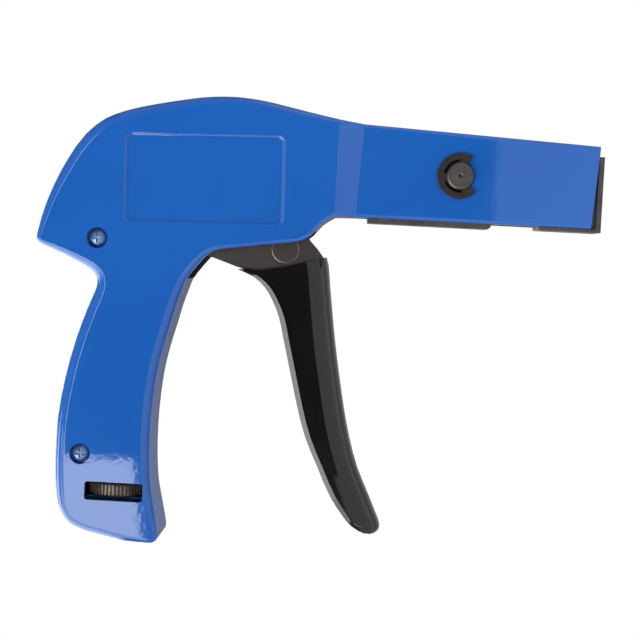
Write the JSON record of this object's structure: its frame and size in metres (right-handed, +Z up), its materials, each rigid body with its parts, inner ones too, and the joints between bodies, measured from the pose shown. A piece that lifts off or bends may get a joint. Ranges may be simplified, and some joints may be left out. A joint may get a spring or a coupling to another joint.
{
  "type": "cable tie tensioning tool",
  "caption": "Hand tool of pistol shape that pulls a cable tie tight with its trigger and cuts the tail off at a set tension.",
  "frame": {"origin": "centre of the tie slot, on the front face of the nose plate", "axes": "+X out of the nose along the pulling line, +Z up away from the grip, +Y towards the tool's left side"},
  "size_m": [0.1652, 0.022, 0.1328],
  "materials": {
    "blue_paint": "glossy blue paint on a die casting",
    "black_paint": "gloss black paint on pressed steel",
    "dark_steel": "dark blued steel",
    "brown_steel": "satin brownish grey steel",
    "pin_steel": "plain turned or stamped steel",
    "bright_steel": "zinc plated steel",
    "spring_steel": "drawn spring wire",
    "nut_brass": "turned brass",
    "wheel_steel": "dark steel with bright worn ridges"
  },
  "bodies": {
    "housing": {"right_housing": "blue_paint", "left_housing": "blue_paint", "housing_screws": "bright_steel", "nose_plate": "dark_steel", "guide_rail": "dark_steel", "barrel_stud": "dark_steel", "e_clip": "dark_steel", "trigger_pivot_pin": "pin_steel", "load_lever_pin": "pin_steel", "trigger_spring": "spring_steel", "blade_spring": "spring_steel", "tension_spring": "spring_steel"},
    "trigger": {"trigger_handle": "black_paint", "trigger_lever": "brown_steel", "link_pin": "brown_steel"},
    "link": {"pull_link": "pin_steel", "link_front_pin": "pin_steel"},
    "carriage": {"gripper_carriage": "pin_steel", "pawl_pin": "pin_steel", "pawl_spring": "spring_steel"},
    "pawl": {"gripper_pawl": "pin_steel"},
    "load_rocker": {"load_lever": "pin_steel"},
    "bar": {"cutoff_bar": "pin_steel"},
    "blade_rocker": {"blade_lever": "pin_steel"},
    "cutter": {"blade": "bright_steel"},
    "strips": {"tension_links": "pin_steel", "upper_tension_pin": "pin_steel", "lower_tension_pin": "pin_steel"},
    "nut": {"tension_nut": "nut_brass", "nut_pin": "pin_steel"},
    "wheel": {"tension_wheel": "wheel_steel", "tension_screw": "pin_steel"}
  },
  "joints": [
    {"name": "trigger_pull", "type": "hinge", "parent": "housing", "child": "trigger", "pos_m": [-0.1, 0, 0.006], "axis": [0, 1, 0], "range_deg": [0, 25], "stiffness_Nm_per_rad": 0.5, "springref_deg": -17.19, "deforming": ["trigger_spring"]},
    {"name": "link_swing", "type": "hinge", "parent": "trigger", "child": "link", "pos_m": [-0.092, 0, -0.0197], "axis": [0, 1, 0], "range_deg": [-27, 0]},
    {"name": "gripper_slide", "type": "slide", "parent": "housing", "child": "carriage", "axis": [-1, 0, 0], "range_m": [0, 0.0122]},
    {"name": "pawl_swing", "type": "hinge", "parent": "carriage", "child": "pawl", "pos_m": [-0.0095, 0, 0.0032], "axis": [0, 1, 0], "range_deg": [0, 12], "stiffness_Nm_per_rad": 0.02, "springref_deg": -11.46, "deforming": ["pawl_spring"]},
    {"name": "load_lever_tilt", "type": "hinge", "parent": "housing", "child": "load_rocker", "pos_m": [-0.12098, 0, 0.002], "axis": [0, 1, 0], "range_deg": [0, 3], "stiffness_Nm_per_rad": 6, "springref_deg": -5.73},
    {"name": "cutoff_slide", "type": "slide", "parent": "housing", "child": "bar", "axis": [0.9988, 0, -0.0484], "range_m": [0, 0.00077]},
    {"name": "blade_lever_swing", "type": "hinge", "parent": "housing", "child": "blade_rocker", "pos_m": [-0.042, 0, 0.0043], "axis": [0, 1, 0], "range_deg": [0, 5.1], "deforming": ["blade_spring"]},
    {"name": "blade_drop", "type": "slide", "parent": "housing", "child": "cutter", "axis": [0, 0, -1], "range_m": [0, 0.0035]},
    {"name": "tension_rise", "type": "slide", "parent": "housing", "child": "strips", "axis": [0, 0, 1], "range_m": [0, 0.00097], "deforming": ["tension_spring"]},
    {"name": "wheel_turn", "type": "hinge", "parent": "housing", "child": "wheel", "pos_m": [-0.13942, 0, -0.0938], "axis": [0, 0, 1], "range_deg": [0, 1800]},
    {"name": "nut_travel", "type": "slide", "parent": "housing", "child": "nut", "axis": [0, 0, -1], "range_m": [0, 0.00401], "deforming": ["tension_spring"]}
  ],
  "couplings": [
    {"joint": "link_swing", "follows": "trigger_pull", "ratio": -1.0708},
    {"joint": "gripper_slide", "follows": "trigger_pull", "m_per_rad": 0.027825},
    {"joint": "cutoff_slide", "follows": "load_lever_tilt", "m_per_rad": 0.0144},
    {"joint": "blade_lever_swing", "follows": "load_lever_tilt", "ratio": 1.667},
    {"joint": "blade_drop", "follows": "load_lever_tilt", "m_per_rad": 0.0661},
    {"joint": "tension_rise", "follows": "load_lever_tilt", "m_per_rad": 0.0182},
    {"joint": "nut_travel", "follows": "wheel_turn", "m_per_rad": 0.00012732}
  ]
}
